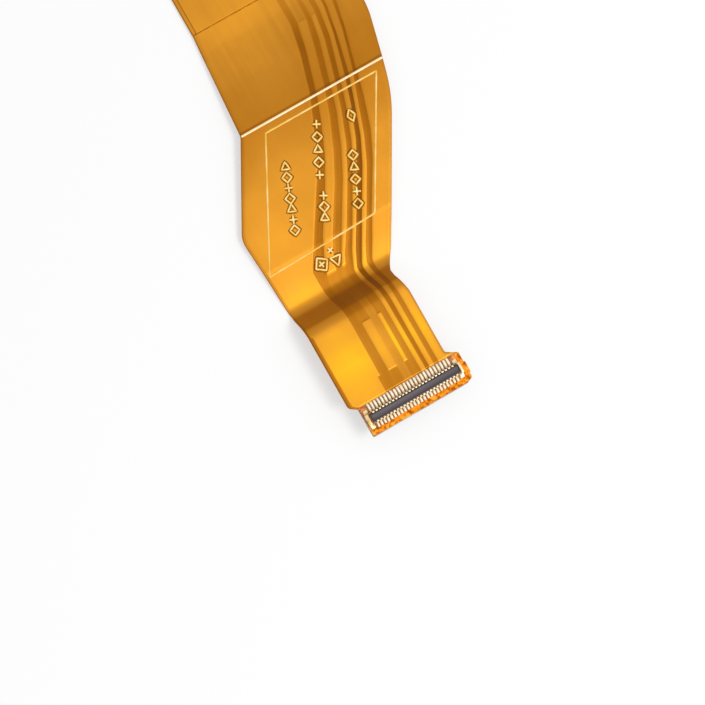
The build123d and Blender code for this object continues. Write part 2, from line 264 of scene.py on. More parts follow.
foot_y = STEP_Y + STEP_HEIGHT / 2 + FOOT_RUN
foot_z = LOW_Z + FOOT_RUN * tan(radians(4.5))
crease_z = foot_z + (CREASE_Y - foot_y) * tan(radians(1.6))
fall_z = crease_z - FALL_RUN * tan(radians(3.4))
side_corners = [
    (-4.0, NEAR_Z),
    (STEP_Y - STEP_HEIGHT / 2, NEAR_Z),
    (STEP_Y + STEP_HEIGHT / 2, LOW_Z),
    (foot_y, foot_z),
    (CREASE_Y, crease_z),
    (CREASE_Y + FALL_RUN, fall_z),
    (FLAT_Y, LOW_Z),
    (SHOULDER_Y - RAMP_RUN, LOW_Z),
    (SHOULDER_Y, FAR_Z),
    (FAR_Y + 4, FAR_Z),
]
side_line = round_corners(side_corners, [STEP_RADIUS, STEP_RADIUS] + [0] * 6, steps=10)
side_y = np.array([p.x for p in side_line])
side_z = np.array([p.y for p in side_line])
print("the ribbon's line runs down", STEP_HEIGHT, "mm in", len(side_line), "points")


def above(y, height):
    """The y and z of a point over the underside's point at y, at a height square to the film."""
    i = int(np.clip(np.searchsorted(side_y, y) - 1, 0, len(side_y) - 2))
    z = side_z[i] + (side_z[i + 1] - side_z[i]) * (y - side_y[i]) / (side_y[i + 1] - side_y[i])
    corner = [k for k in (i, i + 1) if abs(side_y[k] - y) < 1e-4 and 0 < k < len(side_y) - 1]
    before = corner[0] - 1 if corner else i
    after = corner[0] if corner else i
    first = atan2(side_z[before + 1] - side_z[before], side_y[before + 1] - side_y[before])
    second = atan2(side_z[after + 1] - side_z[after], side_y[after + 1] - side_y[after])
    middle = (first + second) / 2
    stretch = height / cos((second - first) / 2)
    return y - stretch * sin(middle), z + stretch * cos(middle)


# %% Outline of the ribbon in plan
left_points = round_corners(
    [
        (-5.8, 1.38),
        (-6.72, 2.0),
        (-6.72, 10.73),
        (-6.6, 12.73),
        (-7.29, 21.85),
        (-2.1, CREASE_Y),
        (-1.1, 42.0),
        (-1.1, SHOULDER_Y),
        (4.76, SHOULDER_Y + 5.86),
        (4.76, FAR_Y - 2.0),
        (3.65, FAR_Y - 1.53),
    ],
    [0.5, 0, 0, 2.5, 1.0, 0, 3.0, 3.0, 0.5],
)
right_points = round_corners(
    [
        (6.13, 1.53),
        (5.02, 2.0),
        (5.02, 9.33),
        (4.6, 11.33),
        (4.7, 12.0),
        (6.1, 13.8),
        (14.1, 27.35),
        (16.5, 36.2),
        (16.5, FAR_Y - 2.0),
        (15.58, FAR_Y - 1.38),
    ],
    [0.5, 0, 0, 0, 0, 16, 9, 0.5],
)


def x_on(points, y):
    """The x of a line in plan at a y."""
    return float(np.interp(y, [p.y for p in points], [p.x for p in points]))


print("corners of the outline:", len(left_points) + len(right_points))

# %% [markdown]
# The copper is etched in lanes: a wide ground pour on the left, four traces, and a supply pour on the
# right. Traces 1 and 2 are islands that stop short of the step, and below it two bars stand in their
# place. Each edge of copper is a line through a few measured places, smoothed as an etched corner is.

# %% Lanes of copper in plan
LANE_STATIONS = (2.2, 9.3, 11.5, 13.8, 15.7, 18.2, 22.5, 25.2, 28.6, 31.6, 35.5, 38.5)
COPPER_EDGES = {
    "ground_right": (-2.1, -2.05, -2.2, -2.3, -2.35, -0.75, 2.05, 3.85, 5.3, 6.55, 7.8, 8.45),
    "trace_1_left": (-1.1, -1.1, -1.3, -1.4, -0.9, 0.3, 3.1, 4.65, 6.15, 7.25, 8.5, 9.2),
    "trace_1_right": (-0.03, -0.03, -0.2, -0.3, 0.25, 1.55, 4.3, 5.75, 7.25, 8.3, 9.5, 10.25),
    "trace_2_left": (0.8, 0.8, 0.6, 0.25, 1.1, 2.6, 5.25, 6.65, 8.05, 8.95, 10.2, 10.85),
    "trace_2_right": (1.25, 1.25, 1.0, 0.65, 1.6, 3.25, 5.85, 7.3, 8.65, 9.6, 10.8, 11.35),
    "trace_3_left": (1.9, 1.85, 1.75, 1.55, 2.4, 3.9, 6.45, 7.9, 9.2, 10.15, 11.4, 11.9),
    "trace_3_right": (2.45, 2.35, 2.2, 1.98, 2.9, 4.4, 7.0, 8.45, 9.8, 10.75, 11.9, 12.5),
    "trace_4_left": (2.85, 2.85, 2.75, 2.55, 3.6, 5.05, 7.65, 9.0, 10.2, 11.2, 12.2, 12.8),
    "trace_4_right": (3.45, 3.4, 3.3, 3.15, 4.1, 5.65, 8.2, 9.45, 10.65, 11.75, 12.95, 13.55),
    "supply_left": (3.95, 3.9, 3.8, 3.75, 4.85, 6.25, 8.9, 10.25, 11.35, 12.1, 13.25, 13.95),
}
ISLAND_SPANS = ((3.37, 8.77), (14.75, 38.2))
NOTCH_END = 3.37
NOTCH = 0.28
fine_y = np.arange(-2, 100, 0.1)
smoothing = np.hanning(11) / np.hanning(11).sum()
fine_edges = {}
for name, places in COPPER_EDGES.items():
    sharp = np.interp(fine_y, LANE_STATIONS, places)
    padded = np.pad(sharp, 5, mode="edge")
    fine_edges[name] = np.convolve(padded, smoothing, mode="valid")
print("copper edges:", len(fine_edges))

# %% [markdown]
# The front coverlay is the face of the part. On the real one a thin film was pressed over etched copper,
# so it stands a little higher over each trace and sinks into the gaps, and the light catches those edges.
# One grid makes it: its rows are stations along the ribbon, and its columns follow the lanes, four of
# them over each edge of copper, so the shoulders stay crisp with few faces.
#
# The colour of such a film is that of what lies under it. Over copper it is golden, and over a bare gap
# brown. Light and shade along the ribbon are painted into it as well: dark on the wall of the step, which
# turns away from the softbox, bright on the foot, duller past the crease, and a thin painted shadow beside
# the crease. Two short tables give it: the painted light and shade along the ribbon, and how much of that
# each region across it keeps, below the step, in the field and past the crease. Their product is a tone
# between 0 and 1, stored on the grid's points, and the material turns it into a colour.

# %% Tone along and across the film
# painted light and shade along the ribbon: dark on the wall of the step, bright on the foot, duller past the
# crease, with a painted shadow beside the crease ridge
PAINTED_LIGHT_ALONG = (
    (1.5, 0.74), (3.5, 0.82), (5.5, 0.93), (7.0, 0.88), (8.0, 0.8), (9.4, 0.77), (10.2, 0.6),
    (10.8, 0.5), (11.0, 0.31), (11.6, 0.35), (12.4, 0.35), (12.65, 0.53), (13.2, 0.67), (13.5, 0.79),
    (14.2, 0.78), (16.0, 0.68), (17.3, 0.66), (17.8, 0.72), (20.0, 0.72), (23.0, 0.68), (25.0, 0.66),
    (28.0, 0.56), (30.8, 0.48), (31.05, 0.48), (31.14, 0.28), (31.3, 0.28), (31.44, 0.48), (34.0, 0.52),
    (38.0, 0.6), (42.0, 0.71), (90.0, 0.7),
)
REGIONS = {
    "left_margin": (0.5, 0.93, 0.9),
    "ground_pour": (1.0, 1.0, 1.0),
    "gap_1": (0.58, 0.5, 0.5),
    "trace_1": (0.87, 0.95, 0.95),
    "gap_2": (0.78, 0.57, 0.62),
    "trace_2": (1.02, 0.98, 1.0),
    "gap_3": (0.62, 0.5, 0.53),
    "trace_3": (0.98, 1.02, 1.0),
    "gap_4": (0.45, 0.24, 0.42),
    "trace_4": (0.96, 1.03, 0.95),
    "gap_5": (0.57, 0.5, 0.5),
    "supply_pour": (0.96, 0.95, 0.9),
    "right_margin": (0.8, 0.95, 0.85),
}
BARE = (0.62, 0.6, 0.9)
INNER_COLUMNS = (2, 34, 3, 4, 3, 2, 2, 2, 2, 2, 2, 10, 2)
SHOULDER = 0.05
RIM = 0.07
CROWN = 0.06
EDGE_SHARE = 0.55
MARGIN = 0.2
WIDE_MARGIN = 0.38
WIDE_BEFORE = 10
WIDE_PAST = 39.2
ZONE_ENDS = (10.0, 13.5, 30.0, 31.5, 36.0, 40.0)
FAR_CONTRAST = 0.45


def by_zone(y, values):
    """A value that changes from below the step to the field and at the crease, and evens out past it."""
    low, field, upper = values
    shares = (low, field, field, upper, upper, 1 - FAR_CONTRAST * (1 - upper))
    return float(np.interp(y, ZONE_ENDS, shares))


def regions_at(y):
    """The borders across the film at a station, and the copper and tone of each region between them."""
    left, right = x_on(left_points, y), x_on(right_points, y)
    edges = {name: float(np.interp(y, fine_y, xs)) for name, xs in fine_edges.items()}
    edges["ground_right"] -= NOTCH * (y < NOTCH_END)
    margin = WIDE_MARGIN if y < WIDE_BEFORE or y > WIDE_PAST else MARGIN
    borders = [left, left + margin, *edges.values(), right - MARGIN, right]
    # the painted light and shade along the ribbon at this station
    painted_light = float(np.interp(y, *zip(*PAINTED_LIGHT_ALONG)))
    filled = any(start <= y <= end for start, end in ISLAND_SPANS)
    row = []
    for name, shares in REGIONS.items():
        copper = 0.0 if "gap" in name or "margin" in name else 1.0
        if name in ("trace_1", "trace_2") and not filled:
            copper, shares = 0.0, BARE
        row.append((copper, painted_light * by_zone(y, shares)))
    return borders, row


def film_row(y):
    """The film's columns at a station: x, copper, tone and distance to the nearer rim."""
    borders, regions = regions_at(y)
    left, right = borders[0], borders[-1]
    row = []
    for k, (copper, tone) in enumerate(regions):
        start, end = borders[k], borders[k + 1]
        first = start + (SHOULDER if k else 0.0)
        last = end - (SHOULDER if k < len(regions) - 1 else 0.0)
        if k:
            before_copper, before_tone = regions[k - 1]
            for shift, t in ((-0.4, 0.2), (0.4, 0.8)):
                mixed = (before_copper + (copper - before_copper) * t, before_tone + (tone - before_tone) * t)
                row.append((start + shift * SHOULDER, *mixed))
        count = INNER_COLUMNS[k]
        for i in range(count + 1):
            t = i / count
            # painted shading: each copper lane a little lighter and each gap a little darker towards its
            # middle
            crown = 4 * t * (1 - t) * (CROWN if copper else -CROWN)
            row.append((first + (last - first) * t, copper, tone * (1 + crown)))
    return [(x, copper, tone, min(x - left, right - x)) for x, copper, tone in row]


print("regions across the film:", len(REGIONS))

# %% Stations along the ribbon
FINE_STEP = 0.22
COARSE_STEP = 0.6
FINE_UNTIL = 45
JUMP = 0.04
# stations where the painted shadow beside the crease ridge starts and ends
CREASE_SHADE = (31.05, 31.14, 31.3, 31.44)

stations = list(np.arange(WINDOW_FRONT, FINE_UNTIL, FINE_STEP))
stations += list(np.arange(FINE_UNTIL, FAR_Y - WINDOW_FRONT, COARSE_STEP))
stations += [FAR_Y - WINDOW_FRONT, CREASE_Y, foot_y, CREASE_Y + FALL_RUN, FLAT_Y]
stations += [SHOULDER_Y - RAMP_RUN, SHOULDER_Y] + list(side_y[1:22])
for end in (end for span in ISLAND_SPANS for end in span):
    stations += [end - JUMP, end + JUMP]
stations += CREASE_SHADE
stations = np.array(sorted(s for s in stations if WINDOW_FRONT <= s <= FAR_Y - WINDOW_FRONT))
stations = stations[np.concatenate([[True], np.diff(stations) > 0.018])]
print("stations:", len(stations), "columns:", len(film_row(20.0)))

# %% Build the front film
PRESSED = 0.006
RIPPLE_LENGTH = 1 / 0.35
ROUND_WIDTH = 0.05
ROUND_DROP = 0.02


def to_mesh(name, mesh_builder):
    """A plain mesh of what was built, with its faces turned outwards."""
    bmesh.ops.recalc_face_normals(mesh_builder, faces=mesh_builder.faces)
    mesh = bpy.data.meshes.new(name)
    mesh_builder.to_mesh(mesh)
    mesh_builder.free()
    return mesh


def lay_sheet(name, stations, columns_at, underside):
    """A closed sheet on the ribbon, from the x, height and tone of its columns at each station."""
    sheet = bmesh.new()
    tone_layer = sheet.verts.layers.float.new("tone")
    rows = []
    bottoms = []

    def new_vert(x, y, height):
        py, pz = above(y, height)
        return sheet.verts.new((x * MM, py * MM, pz * MM))

    for y in stations:
        columns = columns_at(y)
        rows.append([new_vert(x, y, height) for x, height, tone in columns])
        for vert, (x, height, tone) in zip(rows[-1], columns):
            vert[tone_layer] = tone
        bottoms.append([new_vert(x, y, underside) for x in (columns[0][0], columns[-1][0])])
    for first, second, low, high in zip(rows, rows[1:], bottoms, bottoms[1:]):
        for a, b, c, d in zip(first, first[1:], second[1:], second):
            sheet.faces.new((a, b, c, d))
        sheet.faces.new((low[1], low[0], high[0], high[1]))
        sheet.faces.new((low[0], first[0], second[0], high[0]))
        sheet.faces.new((first[-1], low[1], high[1], second[-1]))
    sheet.faces.new([bottoms[0][0], bottoms[0][1]] + rows[0][::-1])
    sheet.faces.new([bottoms[-1][1], bottoms[-1][0]] + rows[-1])
    for face in sheet.faces:
        face.smooth = True
    return to_mesh(name, sheet)


def finish_piece(name, mesh, material, replaced=()):
    """Makes an object of a mesh, which rides on the part and may stand for nodes of the solid model."""
    piece = bpy.data.objects.new(name, mesh)
    scene.collection.objects.link(piece)
    mesh.materials.clear()
    mesh.materials.append(material)
    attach(piece, "root")
    if replaced:
        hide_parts(*replaced)
    print(name, "faces:", len(mesh.polygons))
    return piece


def cover_columns(y):
    """The front film's columns at a station. It stands higher over copper and is rounded at its sides."""
    columns = []
    for x, copper, tone, rim in film_row(above(y, COVER_TOP)[0]):
        ripple = PRESSED * noise.noise(Vector((x / RIPPLE_LENGTH, y / RIPPLE_LENGTH, 3.0)))
        rounding = ROUND_DROP * max(0.0, 1 - rim / ROUND_WIDTH) ** 2
        # painted shade: the film is darker along its cut edge
        shade = EDGE_SHARE + (1 - EDGE_SHARE) * min(1.0, rim / RIM)
        height = GAP_TOP + (COVER_TOP - GAP_TOP) * copper + ripple - rounding
        columns.append((x, height, tone * shade))
    return columns


front_film_mesh = lay_sheet("front_film", stations, cover_columns, FILM_TOP)

# %% [markdown]
# Polyimide film is amber and clear, cast and glossy. The ramp below is its colour from dark to bright:
# the brown of a bare gap and the painted shade on the wall of the step at the dark end, the yellow of a
# polished pour at the bright end. Rolled copper leaves faint streaks along the ribbon, which show where the
# light grazes it past the crease, so a noise that is long in one direction joins the tone there.

# %% Amber film over copper
AMBER = (
    (0.0, "5a2d02"), (0.15, "854a0c"), (0.3, "a25f0e"), (0.45, "ba741a"), (0.6, "cb8628"),
    (0.75, "e69b2e"), (0.88, "f3ae28"), (1.0, "ffc324"),
)
AMBER_GLINT = "ffb53c"
FILM_INDEX = 1.6
PLAIN_TONE = 0.62
STREAK_WIDTH = 0.9
STREAK_STRETCH = 0.02
STREAK_START = 33
STREAK_FULL = 38
CLOUD_SIZE = 4.0
GRAIN_SIZE = 0.25


def film_material(name, tone_source):
    """Glossy amber polyimide whose tone is an attribute of the mesh, or the same all over."""
    material, tree, output = new_material(name)
    place = add_node(tree, "ShaderNodeTexCoord").outputs["Object"]
    cloud = add_node(
        tree,
        "ShaderNodeTexNoise",
        links={"Vector": place},
        values={"Scale": 1 / (CLOUD_SIZE * MM), "Detail": 3.0},
    )
    drawn = add_node(
        tree,
        "ShaderNodeMapping",
        links={"Vector": place},
        values={"Scale": (1.0, STREAK_STRETCH, STREAK_STRETCH)},
    )
    streak = add_node(
        tree,
        "ShaderNodeTexNoise",
        links={"Vector": drawn},
        values={"Scale": 1 / (STREAK_WIDTH * MM), "Detail": 3.0, "Roughness": 0.6},
    )
    apart = add_node(tree, "ShaderNodeSeparateXYZ", links={0: place})
    past_crease = add_node(
        tree,
        "ShaderNodeMapRange",
        links={"Value": apart.outputs["Y"]},
        values={"From Min": STREAK_START * MM, "From Max": STREAK_FULL * MM, "To Min": 0.04, "To Max": 0.22},
    )
    offset = add_node(tree, "ShaderNodeMath", operation="SUBTRACT", links={0: streak}, values={1: 0.5})
    lines = add_node(tree, "ShaderNodeMath", operation="MULTIPLY", links={0: offset, 1: past_crease})
    patches = add_node(
        tree,
        "ShaderNodeMapRange",
        links={"Value": cloud},
        values={"From Min": 0.3, "From Max": 0.7, "To Min": -0.02, "To Max": 0.02},
    )
    uneven = add_node(tree, "ShaderNodeMath", operation="ADD", links={0: lines, 1: patches})
    tone = add_node(tree, "ShaderNodeMath", operation="ADD", links={0: uneven}, values={1: 0.6})
    if tone_source == "tone":
        stored = add_node(tree, "ShaderNodeAttribute", attribute_name="tone")
        tree.links.new(stored.outputs["Fac"], tone.inputs[1])
    else:
        tone.inputs[1].default_value = tone_source
    colour = add_node(tree, "ShaderNodeValToRGB", links={"Fac": tone})
    set_stops(colour, AMBER)
    rough = add_node(
        tree, "ShaderNodeMapRange", links={"Value": cloud}, values={"To Min": 0.26, "To Max": 0.42}
    )
    grain = add_node(
        tree,
        "ShaderNodeTexNoise",
        links={"Vector": place},
        values={"Scale": 1 / (GRAIN_SIZE * MM), "Detail": 2.0},
    )
    values = {"Metallic": 0.25, "IOR": FILM_INDEX, "Specular Tint": linear(AMBER_GLINT)}
    coat(tree, output, colour, rough, grain, 0.25, 0.01, values)
    return material


film_over_copper = film_material("polyimide_film_over_copper", "tone")
film_plain = film_material("polyimide_film_over_solid_copper", PLAIN_TONE)
finish_piece("front_film", front_film_mesh, film_over_copper, ["front_coverlay"])

# %% [markdown]
# A second film lies over the upper part of the ground pour, to shield it. It is a plain rectangle of the
# same amber film, so all that shows of it is its cut edge, painted as a thin dark line of shade across the
# ribbon. It is the same kind of grid as the coverlay, with a rounded border on all four sides.

# %% Shield film
SHIELD_X = (-0.7, 8.2)
SHIELD_Y = (42.22, 79.6)
SHIELD_TOP = 0.21
SHIELD_RIM = 0.12
RIM_SHADE = 0.75

inset = (0.0, 0.03, SHIELD_RIM, 0.2)
width = SHIELD_X[1] - SHIELD_X[0]
shield_across = [*inset, *np.linspace(0.5, width - 0.5, 30), *(width - i for i in inset[::-1])]
first_y, last_y = SHIELD_Y
shield_stations = [first_y + i for i in inset]
shield_stations += list(np.arange(first_y + COARSE_STEP, last_y - 0.5, COARSE_STEP))
shield_stations += [FLAT_Y, SHOULDER_Y - RAMP_RUN] + [last_y - i for i in inset[::-1]]


def shield_columns(y):
    """The shield film's columns at a station, rounded, with painted shade along all four sides."""
    painted_light = float(np.interp(y, *zip(*PAINTED_LIGHT_ALONG)))
    columns = []
    for across in shield_across:
        ease = max(0.0, 1 - min(across, width - across, y - first_y, last_y - y) / SHIELD_RIM)
        height = SHIELD_TOP - ROUND_DROP * ease**2
        # painted light and shade along the ribbon, and painted shade along the sheet's four sides
        columns.append((SHIELD_X[0] + across, height, painted_light * (1 - RIM_SHADE * ease)))
    return columns


shield_mesh = lay_sheet("shield_sheet", sorted(shield_stations), shield_columns, COVER_TOP)
finish_piece("shield_sheet", shield_mesh, film_over_copper, ["shield_film"])

# %% [markdown]
# A frame is embossed in the field of the film, and a line at the crease, where the die bit. A dark line
# along the shield film's edge is a painted shadow. All three are slender half-round ridges. A node tree
# sweeps a profile along any set of curves, and its named inputs are the ridge's width and height. The same
# tree raises the small index marks, which are plain diamonds, triangles and plus signs and spell nothing,
# and the wider, darker ridges under them, which are painted shadows round the marks.

# %% A tree that sweeps a ridge along curves


def new_tree(name, sockets):
    """A geometry tree with named inputs. Returns it with its input and output nodes."""
    tree = bpy.data.node_groups.new(name, "GeometryNodeTree")
    identifiers = {}
    for label, kind in sockets.items():
        socket = tree.interface.new_socket(name=label, in_out="INPUT", socket_type=kind)
        identifiers[label] = socket.identifier
    tree.interface.new_socket(name="Shape", in_out="OUTPUT", socket_type="NodeSocketGeometry")
    return tree, identifiers, add_node(tree, "NodeGroupInput"), add_node(tree, "NodeGroupOutput")


def grow(name, data, tree, identifiers, inputs):
    """Runs a tree on some data and gives back the plain mesh that it makes."""
    carrier = bpy.data.objects.new(name, data)
    scene.collection.objects.link(carrier)
    modifier = carrier.modifiers.new("grow", "NODES")
    modifier.node_group = tree
    for label, value in inputs.items():
        modifier[identifiers[label]] = value
    graph = bpy.context.evaluated_depsgraph_get()
    mesh = bpy.data.meshes.new_from_object(carrier.evaluated_get(graph))
    carrier.modifiers.clear()
    bpy.data.objects.remove(carrier)
    mesh.name = name
    return mesh


ridge_tree, ridge_inputs, given, result = new_tree(
    "ridge_along_curves",
    {
        "Curves": "NodeSocketGeometry",
        "Width": "NodeSocketFloat",
        "Height": "NodeSocketFloat",
        "Finish": "NodeSocketMaterial",
    },
)
upright = add_node(
    ridge_tree, "GeometryNodeSetCurveNormal", mode="Z_UP", links={"Curve": given.outputs["Curves"]}
)
profile = add_node(ridge_tree, "GeometryNodeCurvePrimitiveCircle", values={"Resolution": 8, "Radius": 0.5})
size = add_node(
    ridge_tree,
    "ShaderNodeCombineXYZ",
    links={"X": given.outputs["Width"], "Y": given.outputs["Height"]},
    values={"Z": 1.0},
)
oval = add_node(ridge_tree, "GeometryNodeTransform", links={"Geometry": profile, "Scale": size})
swept = add_node(
    ridge_tree,
    "GeometryNodeCurveToMesh",
    links={"Curve": upright, "Profile Curve": oval},
    values={"Fill Caps": True},
)
smooth = add_node(ridge_tree, "GeometryNodeSetShadeSmooth", links={0: swept})
real = add_node(ridge_tree, "GeometryNodeRealizeInstances", links={0: smooth})
coated = add_node(
    ridge_tree, "GeometryNodeSetMaterial", links={"Geometry": real, "Material": given.outputs["Finish"]}
)
ridge_tree.links.new(coated.outputs[0], result.inputs["Shape"])

print("nodes that sweep a ridge:", len(ridge_tree.nodes))

# %% [markdown]
# The ridges are the same film, stretched over the die's edge. They are paler than the sheet, partly
# because the clear film stands off the copper there and partly as a painted highlight, and glossier, so
# each one carries a thin line of light. The crease line is nearly white: that is a painted highlight
# along the fold.

# %% Finishes of the ridges


def satin(
    name, tones, patch_size, metallic, rough, relief_height, ior=1.5, stretch=(1, 1, 1), glint="ffffff"
):
    """A material with three tones in patches of a size in mm, and a finer grain in gloss and relief."""
    material, tree, output = new_material(name)
    place = add_node(tree, "ShaderNodeTexCoord").outputs["Object"]
    laid = add_node(tree, "ShaderNodeMapping", links={"Vector": place}, values={"Scale": stretch})
    patches = add_node(
        tree,
        "ShaderNodeTexNoise",
        links={"Vector": laid},
        values={"Scale": 1 / (patch_size * MM), "Detail": 4.0},
    )
    colour = add_node(tree, "ShaderNodeValToRGB", links={"Fac": patches})
    set_stops(colour, tuple(zip((0.36, 0.5, 0.64), tones)))
    grain = add_node(
        tree,
        "ShaderNodeTexNoise",
        links={"Vector": laid},
        values={"Scale": 3 / (patch_size * MM), "Detail": 3.0},
    )
    gloss = add_node(
        tree,
        "ShaderNodeMapRange",
        links={"Value": grain},
        values={"From Min": 0.3, "From Max": 0.7, "To Min": rough[0], "To Max": rough[1]},
    )
    values = {"Metallic": metallic, "IOR": ior, "Specular Tint": linear(glint)}
    coat(tree, output, colour, gloss, grain, 0.5, relief_height, values)
    return material


RIDGE_FINISHES = {
    "embossed_polyimide": (("f3bb55", "facb6e", "ffdc94"), 1.5, 0.0, (0.2, 0.3), 0.001),
    "embossed_clear_polyimide": (("f8cd68", "ffe08c", "fff0b4"), 0.5, 0.0, (0.2, 0.35), 0.002),
    # painted shadow: a dark film colour for the line of shade along the shield's edge and round the marks
    "painted_shadow_polyimide": (("7c4404", "965608", "ac680e"), 0.5, 0.2, (0.3, 0.4), 0.002),
}
ridge_finish, mark_finish, painted_shadow_finish = (
    satin(name, *values, ior=FILM_INDEX, glint=AMBER_GLINT) for name, values in RIDGE_FINISHES.items()
)
# painted highlight: the crease line is nearly white, for the light along the fold
crease_highlight_finish = satin(
    "painted_highlight_polyimide", ("ffdc9c", "ffe6b4", "fff0d0"), 1.5, 0.0, (0.2, 0.3), 0.001, ior=FILM_INDEX
)
print("finishes of the ridges:", len(RIDGE_FINISHES) + 1)

# %% Frame, crease and marks on the film
LINE_WIDTH = 0.2
CREASE_WIDTH = 0.25
LINE_HEIGHT = 0.06
FRAME = [(-6.62, 17.35), (0.35, 30.12), (13.8, 30.12), (6.35, 17.72)]
FRAME_CORNER = 0.5
SHADOW_LINE_GAP = 0.03
SHADOW_LINE_SIZE = (0.1, 0.04)


def on_film(x, y):
    """A point on the film's face, in metres."""
    py, pz = above(y, COVER_TOP)
    return x * MM, py * MM, pz * MM


def walk(corners, spacing=0.3):
    """Points at an even spacing along straight runs between corners in plan."""
    points = []
    for (x1, y1), (x2, y2) in zip(corners, corners[1:]):
        count = max(1, round(Vector((x2 - x1, y2 - y1)).length / spacing))
        points += [(x1 + (x2 - x1) * i / count, y1 + (y2 - y1) * i / count) for i in range(count)]
    return points + [tuple(corners[-1])]


def curves_on_film(name, lines):
    """Curve data with one poly spline for each line, given as its points in plan and if it is closed."""
    curves = bpy.data.curves.new(name, "CURVE")
    curves.dimensions = "3D"
    for points, closed in lines:
        spline = curves.splines.new("POLY")
        spline.points.add(len(points) - 1)
        for point, (x, y) in zip(spline.points, points):
            point.co = (*on_film(x, y), 1.0)
        spline.use_cyclic_u = closed
    return curves


def ring(x, y, across, turn, sides):
    """The corners of a regular shape in plan."""
    angles = [turn + 2 * pi * i / sides for i in range(sides)]
    return [(x + across / 2 * cos(angle), y + across / 2 * sin(angle)) for angle in angles]


def loop(corners):
    """A closed line through corners in plan."""
    return walk([*corners, corners[0]], 0.2)[:-1], True


def bar(x, y, length, turn):
    """A short straight stroke in plan."""
    dx, dy = length / 2 * cos(turn), length / 2 * sin(turn)
    return walk([(x - dx, y - dy), (x + dx, y + dy)], 0.15)


low_left, high_left, high_right, low_right = FRAME
rounded = round_corners([high_right, low_right, low_left], [FRAME_CORNER])
frame_line = walk([low_left, high_left, high_right] + [tuple(p) for p in rounded[1:]])
crease_ends = x_on(left_points, CREASE_Y) + 0.06, x_on(right_points, CREASE_Y) - 0.06
crease_line = walk([(x, CREASE_Y) for x in crease_ends])


def ridges(name, lines, width, height, finish):
    """Grows a ridge on the film along lines in plan, and makes it a piece."""
    inputs = {"Width": width * MM, "Height": height * MM, "Finish": finish}
    mesh = grow(name, curves_on_film(name, lines), ridge_tree, ridge_inputs, inputs)
    finish_piece(name, mesh, finish)


ridges("embossed_frame", [(frame_line, False)], LINE_WIDTH, LINE_HEIGHT, ridge_finish)
ridges("embossed_crease", [(crease_line, False)], CREASE_WIDTH, LINE_HEIGHT, crease_highlight_finish)
# a dark ridge along the shield film's edge: a painted shadow
shadow_line_y = SHIELD_Y[0] - SHADOW_LINE_GAP
ridges("shield_glue_line", [(walk([(-1.0, shadow_line_y), (7.3, shadow_line_y)]), False)], *SHADOW_LINE_SIZE, painted_shadow_finish)

# %% Generic index marks
MARK_SIZE = 0.86
MARK_WIDTH = 0.19
MARK_SHADOW_WIDTH = 0.48
MARK_SHADOW_HEIGHT = 0.02
OUTLINE_SHARE = 1.2
MARK_ROWS = (
    ((-1.9, 20.2), (0.45, 26.2), "diamond plus triangle diamond plus diamond triangle"),
    ((1.5, 19.8), (2.5, 21.8), "triangle diamond plus"),
    ((3.2, 23.8), (5.5, 28.4), "plus diamond triangle diamond plus"),
    ((5.3, 19.4), (7.3, 23.9), "diamond plus diamond triangle diamond"),
)


def mark(kind, x, y, size, turn):
    """The strokes of a plain geometric mark: a diamond, a triangle or a plus."""
    if kind == "plus":
        return [(bar(x, y, size, turn), False), (bar(x, y, size, turn + pi / 2), False)]
    sides = {"diamond": 4, "triangle": 3}[kind]
    return [loop(ring(x, y, size * OUTLINE_SHARE, turn, sides))]


marks = []
for start, end, kinds in MARK_ROWS:
    heading = atan2(end[1] - start[1], end[0] - start[0])
    kinds = kinds.split()
    for i, kind in enumerate(kinds):
        t = i / (len(kinds) - 1)
        x, y = start[0] + (end[0] - start[0]) * t, start[1] + (end[1] - start[1]) * t
        marks += mark(kind, x, y, MARK_SIZE, heading)
marks.append(loop([(8.75, 27.5), (9.25, 28.1), (9.6, 27.4), (9.1, 26.85)]))
marks += mark("diamond", -1.15, 15.9, 1.3, 0.2) + mark("plus", -1.15, 15.9, 0.7, 0.2)
marks += mark("triangle", 0.45, 15.6, 1.1, 0.4) + mark("plus", 0.35, 16.7, 0.6, 0.4)
# wide, dark, flat ridges under the marks: a painted shadow round each mark
ridges("mark_grooves", marks, MARK_SHADOW_WIDTH, MARK_SHADOW_HEIGHT, painted_shadow_finish)
ridges("index_marks", marks, MARK_WIDTH, LINE_HEIGHT, mark_finish)

# %% [markdown]
# Each connector stands on a tab. The coverlay has a window there, and what is left of it is a narrow
# frame round the connector, scorched and mottled by the solder's heat. The frame is one outline with the
# window cut out of it, raised to the coverlay's thickness, with its edges eased by a small bevel.

# %% Seats of the two connectors
ends = {
    "near": Matrix.Translation((0, 0, (NEAR_Z + COPPER_TOP) * MM)),
    "far": Matrix.Translation((FAR_X * MM, FAR_Y * MM, (FAR_Z + COPPER_TOP) * MM))
    @ Matrix.Rotation(pi, 4, "Z"),
}


def ease_edges(mesh_builder, width, above_angle=30, segments=2):
    """Rounds every edge that is sharper than an angle."""
    limit = radians(above_angle)
    sharp = [e for e in mesh_builder.edges if e.is_manifold and e.calc_face_angle(0.0) > limit]
    bmesh.ops.bevel(
        mesh_builder,
        geom=sharp,
        offset=width * MM,
        segments=segments,
        affect="EDGES",
        profile=0.5,
        clamp_overlap=True,
    )


def raise_outline(points, low, high):
    """A flat outline in plan, raised between two heights."""
    solid = bmesh.new()
    face = solid.faces.new([solid.verts.new((x * MM, y * MM, low * MM)) for x, y in points])
    raised = bmesh.ops.extrude_face_region(solid, geom=[face])
    top = [item for item in raised["geom"] if isinstance(item, bmesh.types.BMVert)]
    bmesh.ops.translate(solid, verts=top, vec=(0, 0, (high - low) * MM))
    bmesh.ops.recalc_face_normals(solid, faces=solid.faces)
    return solid


